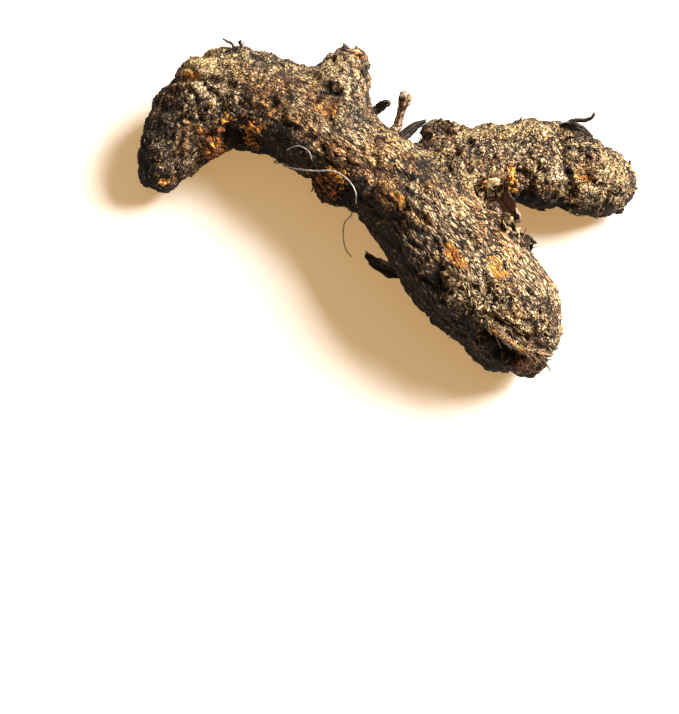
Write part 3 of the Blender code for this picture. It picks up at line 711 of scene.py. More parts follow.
def grown_bark(settings):
    """The rhizome's skin with its relief, and the stains, painted shade and grain that its material reads.
    """
    mesh = base_skin(settings)
    mesh.name = "bark"
    obj = bpy.data.objects.new("rhizome_bark", mesh)
    bpy.context.scene.collection.objects.link(obj)
    Skin.remember(obj)
    points, normals = Skin.points, Skin.normals
    count = len(points)

    limbs = {"stem": Limb(STEM), "finger": Limb(FINGER), "nub": Limb(NUB), "bud": Limb(BUD)}
    straight, off = {}, {}
    for name, limb in limbs.items():
        straight[name], off[name] = limb.unrolled(points)
    least = np.min(list(off.values()), axis=0)
    share = {name: np.exp(-(gap - least) / LIMB_BLEND) for name, gap in off.items()}
    total = sum(share.values())
    share = {name: part / total for name, part in share.items()}

    along = straight["stem"][:, 0]
    hook = 1 - smooth_step(along, 30, 46)
    patchy = 0.5 + 0.5 * noise(points / 11, 90)
    # How fibrous, crumbly and ringed each limb's bark is
    recipe = {
        "stem": (1 - 0.75 * hook, 0.15 + 0.75 * hook, 0.25 + 0.15 * hook),
        "finger": (0.30, 0.65, 0.90),
        "nub": (0.70, 0.50, 0.30),
        "bud": (0.25, 0.8, 0.8),
    }
    fine, spread_of_fine = np.zeros(count), np.zeros(count)
    for seed, name in enumerate(limbs):
        here = share[name] > 0.01
        q = straight[name][here]
        fibrous, crumbly, ringed = (np.broadcast_to(weight, count)[here] for weight in recipe[name])
        part = share[name][here]
        fine[here] += part * wrinkles(q, 20 * seed, fibrous, crumbly, ringed)
        spread_of_fine[here] += part * (0.75 * fibrous + 0.85 * crumbly + 0.25 * ringed)
    broad = lumps(points, 70)
    near, _, owner = cells(points / 5.5, 80)
    pits = smooth_step(owner, 0.55, 0.6) * (1 - smooth_step(near, 0.06, 0.16))

    stains = {name: np.zeros(count) for name in ("flesh", "tan", "soot", "rust")}
    # The soot stain in the small round pits is painted shade.
    stains["soot"] += 0.8 * pits
    rise = np.zeros(count)
    frayed = np.maximum(1.05 + 0.45 * layered(points / 1.6, 60), 0.7)
    for mark in MARKS.values():
        reach = np.exp(-((nearest_leg(points, mark.route)[0] / (mark.width * frayed)) ** 3))
        rise += mark.rise * reach
        for stain, values in stains.items():
            values[:] = np.maximum(values, getattr(mark, stain) * reach)

    height = settings.wrinkle_depth / MM * (fine + WRINKLE_MIDDLE) + settings.lump_height / MM * broad
    height += rise - PIT_DEPTH * pits
    settled = smooth_step(points[:, 2], 0, 1.5)
    points = points + normals * (height * (0.25 + 0.75 * settled))[:, None]
    points[:, 2] = np.maximum(points[:, 2], 0)
    mesh.vertices.foreach_set("co", (points * MM).ravel())
    mesh.shade_smooth()
    mesh.update()

    store(obj, "relief", np.clip(1 + fine / spread_of_fine, 0, 1))
    store(obj, "fibrous", share["stem"] * (1 - 0.75 * hook) + 0.4 * share["nub"])
    store(obj, "patchy", patchy)
    # Painted shade on the sides turned away from the key light, down and to the lower left, and darker
    # towards the bottom, within about 2 to 12 mm of the floor.
    below = 1 - smooth_step(points[:, 2] + 4 * (patchy - 0.5), 2, 12)
    shaded = normals @ unit(np.array([-0.70, -0.42, -0.20])) + 0.5 * (patchy - 0.5)
    turned = smooth_step(shaded, 0.15, 0.75)
    store(obj, "earthy", np.clip(0.6 * below + 0.8 * turned, 0, 1) * (1 - 0.7 * share["bud"]))
    store(obj, "finger_share", share["finger"])
    store(obj, "stem_grain", straight["stem"])
    store(obj, "finger_grain", straight["finger"])
    for stain, values in stains.items():
        store(obj, stain, values)
    return obj


# ---------------------------------------------------------------- materials


class Field:
    """A number that varies over a surface. Arithmetic on fields adds Math nodes."""

    def __init__(self, shader, socket):
        self.shader, self.socket = shader, socket

    def _math(self, operation, *values):
        node = self.shader.add("ShaderNodeMath", {"operation": operation}, dict(enumerate(values)))
        return Field(self.shader, node.outputs[0])

    def __add__(self, other):
        return self._math("ADD", self, other)

    def __sub__(self, other):
        return self._math("SUBTRACT", self, other)

    def __rsub__(self, other):
        return self._math("SUBTRACT", other, self)

    def __mul__(self, other):
        return self._math("MULTIPLY", self, other)

    __radd__, __rmul__ = __add__, __mul__

    def most(self, other):
        """The greater of the two."""
        return self._math("MAXIMUM", self, other)

    def crease(self, width):
        """1 along the lines where a noise passes one half, 0 at width on either side."""
        return 1 - self._math("ABSOLUTE", self - 0.5).from_to(0.0, width)

    def vivid(self, gain):
        """Stretched away from one half by a gain, and held between 0 and 1."""
        settings = {"operation": "MULTIPLY_ADD", "use_clamp": True}
        node = self.shader.add("ShaderNodeMath", settings, {0: self, 1: gain, 2: 0.5 - 0.5 * gain})
        return Field(self.shader, node.outputs[0])

    def from_to(self, low, high):
        """0 at low, 1 at high, eased between them."""
        node = self.shader.add(
            "ShaderNodeMapRange",
            {"interpolation_type": "SMOOTHSTEP"},
            {"Value": self, "From Min": low, "From Max": high},
        )
        return Field(self.shader, node.outputs[0])


FINISHES = {}  # the materials made so far, by finish


class Shader:
    """A material while its nodes are added."""

    def __init__(self, name):
        self.material = FINISHES[name] = bpy.data.materials.new("dried_" + name)
        self.material.use_nodes = True
        self.tree = self.material.node_tree
        self.principled = self.tree.nodes["Principled BSDF"]

    def add(self, kind, settings=None, values=None):
        """A node of a kind: its settings are made first, then its sockets get their values
        or links."""
        node = self.tree.nodes.new(kind)
        for name, setting in (settings or {}).items():
            setattr(node, name, setting)
        for key, value in (values or {}).items():
            self.feed(node.inputs[key], value)
        return node

    def feed(self, socket, value):
        """Links a field or a socket to a socket, or sets the socket's own value."""
        if isinstance(value, Field):
            value = value.socket
        if isinstance(value, bpy.types.NodeSocket):
            self.tree.links.new(value, socket)
        else:
            socket.default_value = value

    def place(self):
        """Object coordinates, in metres."""
        return self.add("ShaderNodeTexCoord").outputs["Object"]

    def stored(self, name):
        """A number kept on the mesh."""
        return Field(self, self.add("ShaderNodeAttribute", {"attribute_name": name}).outputs["Fac"])

    def stored_vector(self, name):
        """A vector kept on the mesh."""
        return self.add("ShaderNodeAttribute", {"attribute_name": name}).outputs["Vector"]

    def scaled(self, vector, factors):
        """A vector times a factor for each axis."""
        node = self.add("ShaderNodeVectorMath", {"operation": "MULTIPLY"}, {0: vector, 1: factors})
        return node.outputs[0]

    def noise(self, vector, scale, detail=2.0, roughness=0.5, distortion=0.0):
        """Blender's own noise, from about 0 to 1."""
        values = {
            "Vector": vector, "Scale": scale, "Detail": detail, "Roughness": roughness,
            "Distortion": distortion,
        }
        return Field(self, self.add("ShaderNodeTexNoise", None, values).outputs["Fac"])

    def warped(self, vector, scale, amount):
        """A place moved about by up to half the amount, by noise of its own scale."""
        sway = self.add("ShaderNodeTexNoise", None, {"Vector": vector, "Scale": scale, "Detail": 2.0})
        values = {0: sway.outputs["Color"], 1: (amount,) * 3, 2: vector}
        node = self.add("ShaderNodeVectorMath", {"operation": "MULTIPLY_ADD"}, values)
        return node.outputs[0]

    def plates(self, vector, scale, gap):
        """A cracked skin: 1 in the cracks between the cells of scattered seeds, 0 from gap
        on; and each cell's own tone from 0 to 1."""
        values = {"Vector": vector, "Scale": scale}
        edge = self.add("ShaderNodeTexVoronoi", {"feature": "DISTANCE_TO_EDGE"}, values)
        cell = self.add("ShaderNodeTexVoronoi", {"feature": "F1"}, values)
        crack = 1 - Field(self, edge.outputs["Distance"]).from_to(0.0, gap)
        return crack, Field(self, cell.outputs["Color"])

    def ramp(self, value, stops):
        """A colour from a value, through stops of (value, colour)."""
        node = self.add("ShaderNodeValToRGB", None, {"Fac": value})
        elements = node.color_ramp.elements
        while len(elements) < len(stops):
            elements.new(0.5)
        for element, (position, colour) in zip(elements, stops):
            element.position = position
            element.color = (*colour, 1)
        return node.outputs["Color"]

    def mixed(self, share, first, second, blend="MIX"):
        """Two colours mixed by a share."""
        first, second = ((*c, 1) if isinstance(c, tuple) else c for c in (first, second))
        settings = {"data_type": "RGBA", "blend_type": blend}
        node = self.add("ShaderNodeMix", settings, {0: share, 6: first, 7: second})
        return node.outputs[2]

    def finish(self, colour, roughness, height, specular=0.3):
        """Puts colour, roughness and a height in millimetres on the surface."""
        bump = self.add("ShaderNodeBump", None, {"Height": height, "Distance": MM, "Strength": 1.0})
        self.feed(self.principled.inputs["Base Color"], colour)
        self.feed(self.principled.inputs["Roughness"], roughness)
        self.feed(self.principled.inputs["Normal"], bump.outputs["Normal"])
        self.principled.inputs["Specular IOR Level"].default_value = specular
        return self.material


def bark_material(colours):
    """Dry bark: near-black furrows, brown slopes and tan crests, with fine fibres along the
    limb and crumbs elsewhere, and turmeric flesh, soot and rust where the mesh says. The
    darkening in the mesh's furrows is painted shade, the soot is mostly painted shade in
    hollows and on shaded sides, and the tan is partly a painted highlight on the lit rims."""
    s = Shader("bark")
    place = s.place()
    relief, fibrous, patchy = s.stored("relief"), s.stored("fibrous"), s.stored("patchy")
    on_finger, leathery = s.stored("finger_share"), 1 - s.stored("fibrous")
    stem_grain, finger_grain = s.stored_vector("stem_grain"), s.stored_vector("finger_grain")
    fibres = s.noise(s.scaled(stem_grain, (1.3, 3.2, 3.2)), 1.0, 2.0, 0.6, 0.5)
    ropes = s.noise(s.scaled(stem_grain, (0.30, 1.15, 1.15)), 1.0, 2.0, 0.55, 0.7)
    folds = s.noise(s.scaled(finger_grain, (0.75, 0.45, 0.45)), 1.0, 2.0, 0.6, 0.9)
    grain = s.noise(place, 1 / (0.42 * MM), 2.0, 0.6, 0.4)
    coarse = s.noise(place, 1 / (1.6 * MM), 3.0, 0.6, 0.8)
    dust = s.noise(place, 1 / (0.25 * MM), 1.0, 0.5)
    along = s.warped(s.scaled(stem_grain, (0.75, 1.6, 1.6)), 1.3, 0.9)
    split, strip = s.plates(along, 1.0, 0.22)
    around = s.warped(s.scaled(place, (1000.0, 1000.0, 1000.0)), 0.9, 1.0)
    crack, crumb = s.plates(around, 1.25, 0.22)
    furrows = ropes.crease(0.055)
    seams = coarse.crease(0.060).most(folds.crease(0.050) * on_finger)
    gaping = coarse.vivid(2.6) * 0.85 + 0.30
    stringy = fibres.vivid(2.6) * 0.40 + strip * 0.16 + ropes * 0.12 - split * gaping * 0.62 - furrows * 0.62
    crumbly = grain.vivid(2.6) * 0.38 + crumb * 0.18 + coarse * 0.12 - crack * gaping * 0.62 - seams * 0.62
    texture = stringy * fibrous + crumbly * leathery
    # The relief term is painted shade: darker in the mesh's own furrows and wrinkles.
    tone = texture + (relief - 0.75) * 0.60 + (dust - 0.5) * 0.5 + (patchy - 0.5) * 0.50 + 0.55
    # Painted shade on the sides turned from the key light, and darker towards the bottom
    tone = tone - s.stored("earthy") * 0.62 + on_finger * 0.08
    colour = s.ramp(
        tone,
        [
            (0.10, colours["furrow"]),
            (0.30, colours["shade"]),
            (0.48, colours["slope"]),
            (0.68, colours["crest"]),
            (0.90, colours["rim"]),
        ],
    )
    warm = s.noise(place, 1 / (6 * MM), 3.0, 0.6).from_to(0.40, 0.62)
    colour = s.mixed(warm * 0.75, colour, colours["warm"], "SOFT_LIGHT")
    rust_spot = s.stored("rust")
    colour = s.mixed(rust_spot.from_to(0.1, 0.8) * 0.8, colour, colours["rust"], "MULTIPLY")
    # Tan where the tan stain says: yellowish bark at yellow spots and scars, and a painted highlight along
    # the rims facing the key light; it shows only on the brighter tones.
    tan_spot = s.stored("tan")
    tan = (tan_spot * 1.1 + (tone - 0.5) * 1.1).from_to(0.35, 1.0) * tan_spot.from_to(0.02, 0.4)
    colour = s.mixed(tan * 0.85, colour, colours["tan"])
    speck = s.noise(place, 1 / (1.3 * MM), 2.0, 0.65)
    flesh_spot = s.stored("flesh")
    flesh = (flesh_spot + (speck - 0.5) * 1.6 + (tone - 0.5) * 0.30).from_to(0.36, 0.60)
    flesh = flesh * flesh_spot.from_to(0.03, 0.2)
    rare = s.noise(place, 1 / (3.4 * MM), 1.0).from_to(0.66, 0.74) * speck.from_to(0.52, 0.62)
    flesh = flesh.most(rare * 0.5)
    yellow = s.noise(place, 1 / (1.0 * MM), 1.0).from_to(0.42, 0.62)
    orange = s.mixed(yellow, colours["flesh_deep"], colours["flesh_pale"])
    orange = s.mixed(tone.from_to(0.10, 0.50), colours["shade"], orange)
    colour = s.mixed(flesh, colour, orange)
    # Black where the soot stain says: painted shade in hollows, pits and grooves and on shaded sides, partly
    # dark bark, stronger where the tone is dark.
    shade_and_soot_spot = s.stored("soot")
    soot = (shade_and_soot_spot + (0.45 - tone) * 0.6).from_to(0.25, 0.75) * shade_and_soot_spot.from_to(0.02, 0.3)
    colour = s.mixed(soot * 0.97, colour, colours["soot"])
    roughness = (0.88 - tone.from_to(0.45, 1.0) * 0.30).most(soot)
    height = (fibres.vivid(2.6) * 0.14 + strip * 0.12 - split * 0.30 - furrows * 0.24) * fibrous
    height = height + (grain.vivid(2.6) * 0.12 + crumb * 0.14 - crack * 0.30 - seams * 0.24) * leathery
    height = height + coarse * 0.12 + folds.vivid(2.0) * on_finger * 0.12 + dust * 0.08
    return s.finish(colour, roughness, height, 0.35)


def strand_material(name, dark, pale, streak, rough=0.8):
    """Dry stalk or root: streaks along it in two tones, on its own way-and-angle grain."""
    s = Shader(name)
    grain = s.stored_vector("grain")
    streaks = s.noise(s.scaled(grain, (streak, 1, 1)), 1.0, 3.0, 0.65)
    mottle = s.noise(s.place(), 1 / (0.6 * MM), 3.0, 0.6)
    tone = (streaks - 0.5) * 1.6 + (mottle - 0.5) * 1.2 + 0.5
    colour = s.ramp(tone, [(0.15, tuple(0.25 * c for c in dark)), (0.45, dark), (0.85, pale)])
    return s.finish(colour, rough - tone * 0.15, streaks * 0.12 + mottle * 0.10)


def loose_material(name, stops, rough=0.85):
    """Loose bits: each has its own tone, mottled by noise."""
    s = Shader(name)
    mottle = s.noise(s.place(), 1 / (0.45 * MM), 3.0, 0.65)
    tone = s.stored("tone") * 0.8 + (mottle - 0.5) * 1.5 + 0.08
    return s.finish(s.ramp(tone, stops), rough - tone.from_to(0.4, 1.0) * 0.15, mottle * 0.15)


# ---------------------------------------------------------------- strands and leaves


def rooted(stations, depth):
    """The stations with one more before them, depth under the bark at their nearest spot."""
    spot, normal = Skin.seat(stations[0][:3])
    first = np.array(stations[0], float)
    first[:3] = spot - normal * depth
    return np.vstack([first, stations])


def strand(spec, girth, sides, knots, steps, slot, ridges=0.0, ragged=0.0):
    """A stalk, rootlet or hair: a round profile whose radius swells at knots by noise along
    the way, with ridges round it, closed to a blunt or ragged end."""
    low, high = (np.array(corner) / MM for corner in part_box(spec.node))
    stations = np.array(spec.stations, float)
    stations[:, :3] = in_box(stations[:, :3], low, high)
    stations = rooted(stations, ROOT_DEPTH)
    rows = smooth_route(stations, steps)
    route, share = rows[:, :3], rows[:, 3]
    count = len(route)
    seed = len(spec.node)
    wander = np.stack([noise(route / 1.7, seed + k) for k in range(3)], axis=1)
    route = route + wander * knots * 0.35 * girth

    def section(way, angle):
        step = np.broadcast_to(way * count, (count, sides))
        turn = np.broadcast_to(angle, (count, sides))
        where = np.stack([step / 3.0, 1.3 * np.cos(turn), 1.3 * np.sin(turn)], axis=-1).reshape(-1, 3)
        bumps = noise(where, seed).reshape(count, sides)
        fins = np.cos(7 * turn + 2 * bumps)
        radius = girth * share[:, None] * (1 + knots * 0.45 * bumps + ridges * 0.18 * fins)
        taper = np.clip((1 - way) * count / 1.5, 0, 1) ** 0.5
        radius = radius * (0.35 + 0.65 * taper)
        ahead = ragged * girth * smooth_step(way, 0.85, 1.0) * (fins + 2 * bumps)
        return radius * np.cos(angle), radius * np.sin(angle), ahead

    points, faces = swept(route, sides, section)
    obj = made_mesh(spec.node, points, faces)
    obj.name = spec.node + "_dry"
    way = np.repeat(np.arange(count), sides)
    turn = np.tile(np.linspace(0, 2 * math.pi, sides, endpoint=False), count)
    grain = np.stack([way * 0.4, 2 * np.cos(turn), 2 * np.sin(turn)], axis=1)
    grain = np.vstack([grain, [0, 0, 0], [count * 0.4, 0, 0]])
    store(obj, "grain", grain)
    return place_piece(obj, slot, spec.node, finish=spec.finish)


def leaf(spec, thickness, seed):
    """A dry scale leaf: a flat closed profile carried from foot to tip. Its edges curl up by
    the square of the way across, ribs run lengthwise, and noise crumples it and frays its
    tip."""
    low, high = (np.array(corner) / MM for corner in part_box(spec.node))
    foot, tip = in_box([spec.foot, spec.tip], low, high)
    faces_to = unit(np.array(spec.faces, float))
    spot, normal = Skin.seat(foot)
    middle = (foot + tip) / 2 + faces_to * 0.12 * np.linalg.norm(tip - foot)
    stations = np.array([spot - normal * LEAF_DEPTH, foot * 0.6 + spot * 0.4, middle, tip])
    route = smooth_route(stations, 9)
    count, sides = len(route), 36

    def section(way, angle):
        across = np.cos(angle) + 0 * way
        swell = 0.55 + 0.45 * np.sin(np.pi * np.clip(way * 1.1, 0, 1))
        half = 0.5 * spec.width * swell * (1 - 0.25 * way**3)
        where = np.stack([way * 3.0 + 0 * across, across * 1.6, 0 * across + seed], axis=-1).reshape(-1, 3)
        crumple = layered(where, seed).reshape(across.shape)
        edge = noise(where * 2.3, seed + 5).reshape(across.shape)
        ribs = np.cos(spec.ribs * np.pi * across + 2 * crumple)
        wall = 0.5 * thickness * np.sin(angle) * (1 + 0.35 * ribs)
        lift = spec.curl * across**2 * (0.4 + 0.6 * way) + 0.38 * crumple + 0.10 * ribs
        fray = smooth_step(way, 0.6, 1.0) * (0.9 * edge + 0.35 * ribs)
        fray = fray - 0.8 * smooth_step(way, 0.5, 1) * across**2
        return half * across * (1 + 0.18 * edge), wall + lift, fray

    points, faces = swept(route, sides, section, faces_to)
    obj = made_mesh(spec.node, points, faces)
    obj.name = spec.node + "_dry"
    way = np.repeat(np.linspace(0, 1, count), sides)
    across = np.tile(np.cos(np.linspace(0, 2 * math.pi, sides, endpoint=False)), count)
    grain = np.stack([way * 1.5, across * 0.5 * spec.width * 2.2, 0 * way + seed], axis=1)
    store(obj, "grain", np.vstack([grain, [0, 0, seed], [1.5, 0, seed]]))
    return place_piece(obj, spec.finish, spec.node)


def scatter(name, zones, rings, sides, thickness, seed):
    """Loose bits, all worked out together. Each is a closed profile carried along its own
    short line: the line leaves the bark at its lift, bends by the square of the way, and the
    profile narrows towards the tip. The spots are drawn among the skin's points, by a bell
    curve of their distance from the zone's route."""
    draw = np.random.default_rng(seed)
    spots, headings, sizes = [], [], []
    for zone in zones:
        gap, heading = nearest_leg(Skin.points, zone.route)
        chance = np.exp(-((gap / zone.radius) ** 2)) * (Skin.points[:, 2] > 1.5)
        chosen = draw.choice(len(chance), zone.count, replace=False, p=chance / chance.sum())
        spots.append(np.hstack([Skin.points[chosen], Skin.normals[chosen]]))
        long = zone.length * draw.uniform(0.6, 1.4, zone.count)
        width = zone.width * draw.uniform(0.6, 1.4, zone.count)
        lift = np.radians(zone.lift * draw.uniform(0.2, 1.8, zone.count))
        tone = np.clip(zone.tone + 0.22 * draw.normal(size=zone.count), 0, 1)
        sizes.append(np.stack([long, width, lift, tone], axis=1))
        astray = draw.normal(size=(zone.count, 3)) * (1 - zone.combed)
        headings.append(astray + 2 * zone.combed * heading[chosen])
    spots, headings = np.vstack(spots), np.vstack(headings)
    long, width, lift, tone = np.vstack(sizes).T[:, :, None, None]
    foot, normal = spots[:, :3], spots[:, 3:]
    heading = unit(headings - (headings * normal).sum(axis=1, keepdims=True) * normal)
    across = np.cross(normal, heading)
    count = len(foot)
    way = np.linspace(0, 1, rings)[None, :, None]
    angle = np.linspace(0, 2 * math.pi, sides, endpoint=False)[None, None, :]
    bend, curl = draw.normal(size=(2, count, 1, 1)) * np.array([0.30, 0.10]).reshape(2, 1, 1, 1)
    jitter = 1 + 0.25 * draw.normal(size=(count, rings, sides))
    ahead = long * way * np.cos(lift) + 0 * angle
    upward = long * (np.sin(lift) * way + curl * way**2) - 0.12
    narrow = (0.75 + 0.9 * way - 1.25 * way**2) * jitter
    sideways = width * narrow * np.cos(angle) + long * bend * way**2
    upward = upward + np.minimum(thickness, width) * narrow * np.sin(angle)
    tubes = foot[:, None, None] + sum(
        part[..., None] * axis[:, None, None]
        for part, axis in ((ahead, heading), (sideways, across), (upward, normal))
    )
    body = tubes.reshape(count, rings * sides, 3)
    points = np.concatenate([body, tubes[:, :1].mean(axis=2), tubes[:, -1:].mean(axis=2)], axis=1)
    each = rings * sides + 2
    faces = tube_faces(rings, sides)[None] + each * np.arange(count)[:, None, None]
    points = points.reshape(-1, 3)
    points[:, 2] = np.maximum(points[:, 2], 0.02)
    obj = made_mesh(name, points, faces.reshape(-1, 3))
    store(obj, "tone", np.repeat(tone.ravel(), each))
    return obj


def place_piece(obj, slot, *nodes, finish=None):
    """Gives a piece its finish, its body and the CAD nodes that it stands for."""
    obj.data.materials.clear()
    obj.data.materials.append(FINISHES[finish or slot])
    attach(obj, BODY)
    if nodes:
        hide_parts(*nodes)
    return obj


# ---------------------------------------------------------------- what a user may change


def length(name, description, millimetres):
    """A length that a user may set."""
    return FloatProperty(
        name=name,
        description=description,
        default=millimetres * MM,
        min=0,
        subtype="DISTANCE",
        unit="LENGTH",
    )


def colour(name, description, rgb):
    """A colour that a user may set."""
    return FloatVectorProperty(
        name=name, description=description, default=rgb, min=0, max=1, size=3, subtype="COLOR"
    )


class BarkSettings(bpy.types.PropertyGroup):
    """The skin's fineness, its relief and its colours"""

    mesh_step: length("Mesh step", "Size of the skin's faces", 0.36)
    smoothing: IntProperty(
        name="Smoothing", description="Rounds of smoothing before the relief", default=12, min=0
    )
    wrinkle_depth: length("Wrinkle depth", "Depth of furrows and cracks", 0.80)
    lump_height: length("Lump height", "Height of the broad swellings", 0.85)
    furrow: colour("Furrow", "Bottom of a furrow", (0.007, 0.004, 0.002))
    shade: colour("Shade", "Side of a furrow", (0.034, 0.019, 0.009))
    slope: colour("Slope", "Plain bark", (0.138, 0.080, 0.035))
    crest: colour("Crest", "Rubbed crests", (0.272, 0.178, 0.084))
    rim: colour("Rim", "The palest crests", (0.480, 0.365, 0.210))
    warm: colour("Warm", "Warmer patches of bark", (0.46, 0.27, 0.11))
    # Tan: yellowish bark, and the painted highlight on the lit rims
    tan: colour("Tan", "Thin yellowish bark", (0.400, 0.275, 0.115))
    rust: colour("Rust", "Reddish bark round broken spots", (0.80, 0.42, 0.24))
    # Black of the soot stain: mostly painted shade in hollows, partly dark bark
    soot: colour("Soot", "Black hollows", (0.010, 0.008, 0.007))
    flesh_deep: colour("Deep flesh", "Turmeric flesh", (0.400, 0.125, 0.012))
    flesh_pale: colour("Pale flesh", "Dusty turmeric flesh", (0.560, 0.300, 0.045))


class TrimSettings(bpy.types.PropertyGroup):
    """How thick the dry trimmings are"""

    shoot_girth: length("Shoot radius", "Radius of the dry shoots", 0.85)
    rootlet_girth: length("Rootlet radius", "Radius of the dark rootlets", 0.42)
    hair_girth: length("Hair root radius", "Radius of the pale hair roots", 0.15)
    leaf_thickness: length("Leaf thickness", "Thickness of a scale leaf", 0.28)


class StageSettings(bpy.types.PropertyGroup):
    """The camera, the light and the floor"""

    elevation: FloatProperty(
        name="Camera elevation",
        description="Angle above the floor",
        default=math.radians(72),
        subtype="ANGLE",
    )
    distance: length("Camera distance", "From the aim point", 420)
    focal: FloatProperty(
        name="Lens", description="Focal length in millimetres", default=113.9, unit="CAMERA"
    )
    key_power: FloatProperty(
        name="Key light", description="Power of the key light in watts", default=148.0, unit="POWER"
    )
    fill: FloatProperty(name="Fill light", description="Brightness of the surroundings", default=0.32)
    floor: colour("Floor", "Pale floor", (0.52, 0.52, 0.52))
    glow: colour("Floor glow", "What the floor itself gives back in the shade", (0.44, 0.255, 0.090))


# ---------------------------------------------------------------- operators


class TURMERIC_OT_bark(bpy.types.Operator):
    """Grow the bark over the CAD rhizome"""

    bl_idname = "turmeric.bark"
    bl_label = "Bark"

    def execute(self, context):
        settings = context.scene.turmeric_bark
        names = "furrow shade slope crest rim warm tan rust soot flesh_deep flesh_pale".split()
        bark_material({name: tuple(getattr(settings, name)) for name in names})
        obj = grown_bark(settings)
        place_piece(obj, "bark", "rhizome")
        Skin.remember(obj)
        return {"FINISHED"}


class TURMERIC_OT_loose_bits(bpy.types.Operator):
    """Scatter loose flakes, crumbs of flesh and frayed fibres over the bark"""

    bl_idname = "turmeric.loose_bits"
    bl_label = "Loose bits"

    def execute(self, context):
        settings = context.scene.turmeric_bark
        furrow, shade, slope, crest, rim, rust, deep, pale = (
            tuple(getattr(settings, name))
            for name in "furrow shade slope crest rim rust flesh_deep flesh_pale".split()
        )
        loose_material("flake", [(0.05, furrow), (0.35, shade), (0.55, slope), (0.78, crest), (0.98, rim)])
        reddish = tuple(r * c for r, c in zip(rust, slope))
        loose_material("crumb", [(0.10, shade), (0.38, reddish), (0.65, deep), (0.95, pale)])
        loose_material("fibre", [(0.08, furrow), (0.35, shade), (0.60, slope), (0.90, rim)])
        place_piece(scatter("bark_flakes", FLAKES, 4, 6, 0.09, 3), "bark", finish="flake")
        place_piece(scatter("flesh_crumbs", CRUMBS, 4, 6, 0.16, 5), "bark", finish="crumb")
        place_piece(scatter("frayed_fibres", FIBRES, 5, 4, 0.07, 7), "bark", finish="fibre")
        return {"FINISHED"}


class TURMERIC_OT_shoots(bpy.types.Operator):
    """Add the two dry shoot stubs"""

    bl_idname = "turmeric.shoots"
    bl_label = "Dry shoots"

    def execute(self, context):
        girth = context.scene.turmeric_trim.shoot_girth / MM
        strand_material("dry_shoot", (0.110, 0.062, 0.034), (0.480, 0.330, 0.200), 0.7)
        for spec in SHOOTS:
            strand(spec, girth, 28, 0.5, 9, "dry_shoot", ridges=1.0, ragged=0.55)
        return {"FINISHED"}


class TURMERIC_OT_rootlets(bpy.types.Operator):
    """Add the dark rootlet of the finger and the fibres of the crown"""

    bl_idname = "turmeric.rootlets"
    bl_label = "Dark rootlets"

    def execute(self, context):
        girth = context.scene.turmeric_trim.rootlet_girth / MM
        strand_material("rootlet", (0.022, 0.016, 0.012), (0.130, 0.100, 0.075), 0.8)
        for spec in ROOTLETS:
            strand(spec, girth, 14, 0.7, 8, "rootlet", ridges=0.6, ragged=0.2)
        return {"FINISHED"}


class TURMERIC_OT_hair_roots(bpy.types.Operator):
    """Add the pale hair roots"""

    bl_idname = "turmeric.hair_roots"
    bl_label = "Hair roots"

    def execute(self, context):
        girth = context.scene.turmeric_trim.hair_girth / MM
        strand_material("hair_root", (0.300, 0.270, 0.225), (0.620, 0.580, 0.520), 0.3, 0.6)
        for spec in HAIR_ROOTS:
            strand(spec, girth, 10, 0.35, 10, "hair_root")
        return {"FINISHED"}


class TURMERIC_OT_scale_leaves(bpy.types.Operator):
    """Add the dry scale leaves"""

    bl_idname = "turmeric.scale_leaves"
    bl_label = "Scale leaves"

    def execute(self, context):
        thickness = context.scene.turmeric_trim.leaf_thickness / MM
        strand_material("scale_leaf", (0.120, 0.066, 0.045), (0.380, 0.240, 0.180), 0.5)
        for seed, spec in enumerate(SCALE_LEAVES):
            leaf(spec, thickness, seed * 11)
        return {"FINISHED"}


class TURMERIC_OT_stage(bpy.types.Operator):
    """Set up the floor, the soft light and the camera"""

    bl_idname = "turmeric.stage"
    bl_label = "Stage"

    def execute(self, context):
        settings = context.scene.turmeric_stage
        low, high = (np.array(corner) for corner in CAD_BOX)
        floor_plane(settings)
        key_light(settings, (low + high) / 2)
        surroundings(settings)
        camera(settings, low, high)
        context.scene.view_settings.view_transform = "Standard"
        return {"FINISHED"}


def floor_plane(settings):
    """A wide square on the plane z = 0."""
    half = FLOOR_HALF
    corners = np.array([(-half, -half, 0), (half, -half, 0), (half, half, 0), (-half, half, 0)])
    mesh = bpy.data.meshes.new("floor")
    mesh.from_pydata((corners * MM).tolist(), [], [(0, 1, 2, 3)])
    obj = bpy.data.objects.new("floor", mesh)
    bpy.context.scene.collection.objects.link(obj)
    s = Shader("floor")
    s.principled.inputs["Base Color"].default_value = (*settings.floor, 1)
    s.principled.inputs["Roughness"].default_value = 0.7
    s.principled.inputs["Emission Color"].default_value = (*settings.glow, 1)
    s.principled.inputs["Emission Strength"].default_value = 1.0
    s.principled.inputs["Specular IOR Level"].default_value = 0.2
    mesh.materials.append(s.material)


def key_light(settings, middle):
    """A soft square lamp up to the right and behind, turned to the root."""
    toward = unit(np.array(KEY_DIRECTION))
    lamp = bpy.data.lights.new("key", "AREA")
    lamp.energy = settings.key_power
    lamp.size = KEY_SIZE
    lamp.color = (1.0, 0.97, 0.93)
    obj = bpy.data.objects.new("key", lamp)
    obj.location = Vector(middle + toward * KEY_DISTANCE)
    obj.rotation_euler = Vector(-toward).to_track_quat("-Z", "Y").to_euler()
    bpy.context.scene.collection.objects.link(obj)


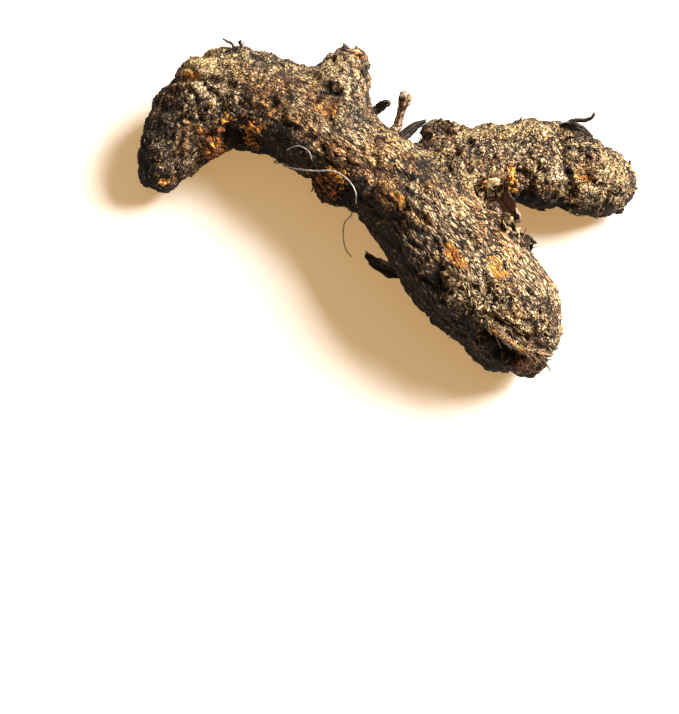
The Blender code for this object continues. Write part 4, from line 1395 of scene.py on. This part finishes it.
def surroundings(settings):
    """An even pale sky."""
    world = bpy.data.worlds.new("surroundings")
    world.use_nodes = True
    background = world.node_tree.nodes["Background"]
    background.inputs["Color"].default_value = (1.0, 0.83, 0.62, 1)
    background.inputs["Strength"].default_value = settings.fill
    bpy.context.scene.world = world


def camera(settings, low, high):
    """A camera in front of the root that looks down at it, aimed at shares of its box."""
    aim = low + np.array(AIM) * (high - low)
    tilt = settings.elevation
    back = np.array([0, -math.cos(tilt), math.sin(tilt)])
    lens = bpy.data.cameras.new("camera")
    lens.sensor_width = 36
    lens.lens = settings.focal
    obj = bpy.data.objects.new("camera", lens)
    obj.location = Vector(aim + back * settings.distance)
    obj.rotation_euler = Vector(-back).to_track_quat("-Z", "Y").to_euler()
    bpy.context.scene.collection.objects.link(obj)
    bpy.context.scene.camera = obj


class TURMERIC_PT_panel(bpy.types.Panel):
    """Lists the pieces of the root and the stage"""

    bl_label = "Dried turmeric root"
    bl_idname = "TURMERIC_PT_panel"
    bl_space_type = "VIEW_3D"
    bl_region_type = "UI"
    bl_category = "Turmeric"

    def draw(self, context):
        for operator in OPERATORS:
            self.layout.operator(operator.bl_idname)
        for name in GROUPS:
            group = getattr(context.scene, name)
            box = self.layout.box()
            for setting in group.__annotations__:
                box.prop(group, setting)


GROUPS = {"turmeric_bark": BarkSettings, "turmeric_trim": TrimSettings, "turmeric_stage": StageSettings}
OPERATORS = [
    TURMERIC_OT_bark,
    TURMERIC_OT_loose_bits,
    TURMERIC_OT_rootlets,
    TURMERIC_OT_shoots,
    TURMERIC_OT_hair_roots,
    TURMERIC_OT_scale_leaves,
    TURMERIC_OT_stage,
]


def register():
    for cls in (*GROUPS.values(), *OPERATORS, TURMERIC_PT_panel):
        bpy.utils.register_class(cls)
    for name, group in GROUPS.items():
        setattr(bpy.types.Scene, name, PointerProperty(type=group))


def unregister():
    for name in GROUPS:
        delattr(bpy.types.Scene, name)
    for cls in reversed((*GROUPS.values(), *OPERATORS, TURMERIC_PT_panel)):
        bpy.utils.unregister_class(cls)


def main():
    register()
    for operator in OPERATORS:
        call = getattr(bpy.ops.turmeric, operator.bl_idname.split(".")[1])
        call()


if __name__ == "__main__":
    main()
